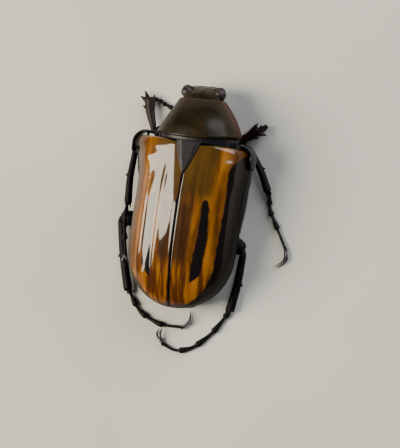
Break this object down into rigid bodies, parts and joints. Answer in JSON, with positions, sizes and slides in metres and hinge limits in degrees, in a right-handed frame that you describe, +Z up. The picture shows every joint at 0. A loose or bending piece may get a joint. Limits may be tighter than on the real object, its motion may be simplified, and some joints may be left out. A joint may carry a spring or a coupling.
{
  "type": "flower chafer beetle",
  "caption": "Life-size still model of a Madagascan flower chafer: glossy striped orange-brown wing cases, black body, bent legs with hooked claws.",
  "frame": {"origin": "on the floor, under the middle of the beetle's outline with its legs", "axes": "+Y towards the head, +X towards the beetle's right, +Z up"},
  "size_m": [0.02, 0.03, 0.0084],
  "materials": {
    "elytra_chitin": "glossy orange-brown chitin with black stripes",
    "pronotum_chitin": "glossy olive-black chitin, reddish at its sides",
    "black_chitin": "glossy black chitin with a faint violet sheen",
    "red_brown_chitin": "satin dark red-brown chitin",
    "eye_surface": "smooth grey-brown compound eye"
  },
  "bodies": {
    "root": {"abdomen": "black_chitin", "antenna_left": "red_brown_chitin", "antenna_right": "red_brown_chitin", "claws_fore_left": "red_brown_chitin", "claws_fore_right": "red_brown_chitin", "claws_hind_left": "red_brown_chitin", "claws_hind_right": "red_brown_chitin", "claws_middle_left": "red_brown_chitin", "claws_middle_right": "red_brown_chitin", "coxa_fore_left": "black_chitin", "coxa_fore_right": "black_chitin", "coxa_hind_left": "black_chitin", "coxa_hind_right": "black_chitin", "coxa_middle_left": "black_chitin", "coxa_middle_right": "black_chitin", "elytron_left": "elytra_chitin", "elytron_right": "elytra_chitin", "eye_left": "eye_surface", "eye_right": "eye_surface", "femur_fore_left": "black_chitin", "femur_fore_right": "black_chitin", "femur_hind_left": "black_chitin", "femur_hind_right": "black_chitin", "femur_middle_left": "black_chitin", "femur_middle_right": "black_chitin", "head": "pronotum_chitin", "mesepimeron_left": "black_chitin", "mesepimeron_right": "black_chitin", "mouthparts": "red_brown_chitin", "pronotum": "pronotum_chitin", "prosternum": "black_chitin", "pygidium": "black_chitin", "scutellum": "black_chitin", "tarsus_fore_left": "black_chitin", "tarsus_fore_right": "black_chitin", "tarsus_hind_left": "black_chitin", "tarsus_hind_right": "black_chitin", "tarsus_middle_left": "black_chitin", "tarsus_middle_right": "black_chitin", "thorax": "black_chitin", "tibia_fore_left": "red_brown_chitin", "tibia_fore_right": "red_brown_chitin", "tibia_hind_left": "black_chitin", "tibia_hind_right": "black_chitin", "tibia_middle_left": "black_chitin", "tibia_middle_right": "black_chitin"}
  },
  "joints": []
}
